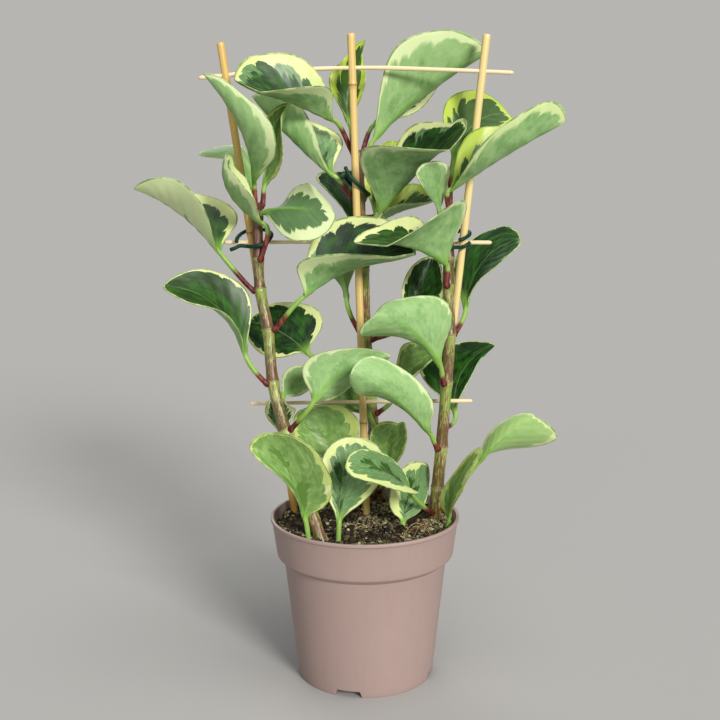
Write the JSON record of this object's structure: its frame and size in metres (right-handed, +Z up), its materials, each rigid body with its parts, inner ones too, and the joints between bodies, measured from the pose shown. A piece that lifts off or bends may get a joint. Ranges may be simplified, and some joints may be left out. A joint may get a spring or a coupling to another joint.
{
  "type": "variegated baby rubber plant in a nursery pot",
  "caption": "Potted variegated baby rubber plant: thick glossy cream-edged leaves on reddish stems, tied to a bamboo rack of canes and crossbars in a mauve plastic pot.",
  "frame": {"origin": "centre of the pot's underside, on the surface that it stands on", "axes": "+Z up, -Y towards the viewer, +X to the viewer's right, along the rack's crossbars"},
  "size_m": [0.2609, 0.17, 0.4058],
  "materials": {
    "pot_plastic": "mauve-taupe moulded plastic, soft satin, faintly streaked",
    "peat_soil": "dark moist peat with tan fibres, pale bits and a little moss",
    "cane_bamboo": "pale yellow split bamboo with tan edges and node rings",
    "bar_bamboo": "pale cream bamboo stick with fine grain",
    "stem_skin": "succulent olive green stem streaked red-brown, glossy, with pale node rings",
    "tie_wire": "dark teal plastic coated wire",
    "leaf_blade": "thick waxy leaf, dark green and grey-green sectors, cream to lime margin, sage underside"
  },
  "bodies": {
    "root": {"cane_left": "cane_bamboo", "cane_middle": "cane_bamboo", "cane_right": "cane_bamboo", "crossbar_bottom": "bar_bamboo", "crossbar_middle": "bar_bamboo", "crossbar_top": "bar_bamboo", "leaf_left_1": "leaf_blade", "leaf_left_10": "leaf_blade", "leaf_left_11": "leaf_blade", "leaf_left_2": "leaf_blade", "leaf_left_3": "leaf_blade", "leaf_left_4": "leaf_blade", "leaf_left_5": "leaf_blade", "leaf_left_6": "leaf_blade", "leaf_left_7": "leaf_blade", "leaf_left_8": "leaf_blade", "leaf_left_9": "leaf_blade", "leaf_middle_1": "leaf_blade", "leaf_middle_10": "leaf_blade", "leaf_middle_11": "leaf_blade", "leaf_middle_12": "leaf_blade", "leaf_middle_13": "leaf_blade", "leaf_middle_14": "leaf_blade", "leaf_middle_15": "leaf_blade", "leaf_middle_16": "leaf_blade", "leaf_middle_17": "leaf_blade", "leaf_middle_18": "leaf_blade", "leaf_middle_19": "leaf_blade", "leaf_middle_2": "leaf_blade", "leaf_middle_3": "leaf_blade", "leaf_middle_4": "leaf_blade", "leaf_middle_5": "leaf_blade", "leaf_middle_6": "leaf_blade", "leaf_middle_7": "leaf_blade", "leaf_middle_8": "leaf_blade", "leaf_middle_9": "leaf_blade", "leaf_right_1": "leaf_blade", "leaf_right_10": "leaf_blade", "leaf_right_11": "leaf_blade", "leaf_right_2": "leaf_blade", "leaf_right_3": "leaf_blade", "leaf_right_4": "leaf_blade", "leaf_right_5": "leaf_blade", "leaf_right_6": "leaf_blade", "leaf_right_7": "leaf_blade", "leaf_right_8": "leaf_blade", "leaf_right_9": "leaf_blade", "leaf_soil_1": "leaf_blade", "leaf_soil_2": "leaf_blade", "leaf_soil_3": "leaf_blade", "leaf_soil_4": "leaf_blade", "pot": "pot_plastic", "soil": "peat_soil", "stem_left": "stem_skin", "stem_middle": "stem_skin", "stem_right": "stem_skin", "tie_left": "tie_wire", "tie_middle": "tie_wire", "tie_right": "tie_wire"}
  },
  "joints": []
}
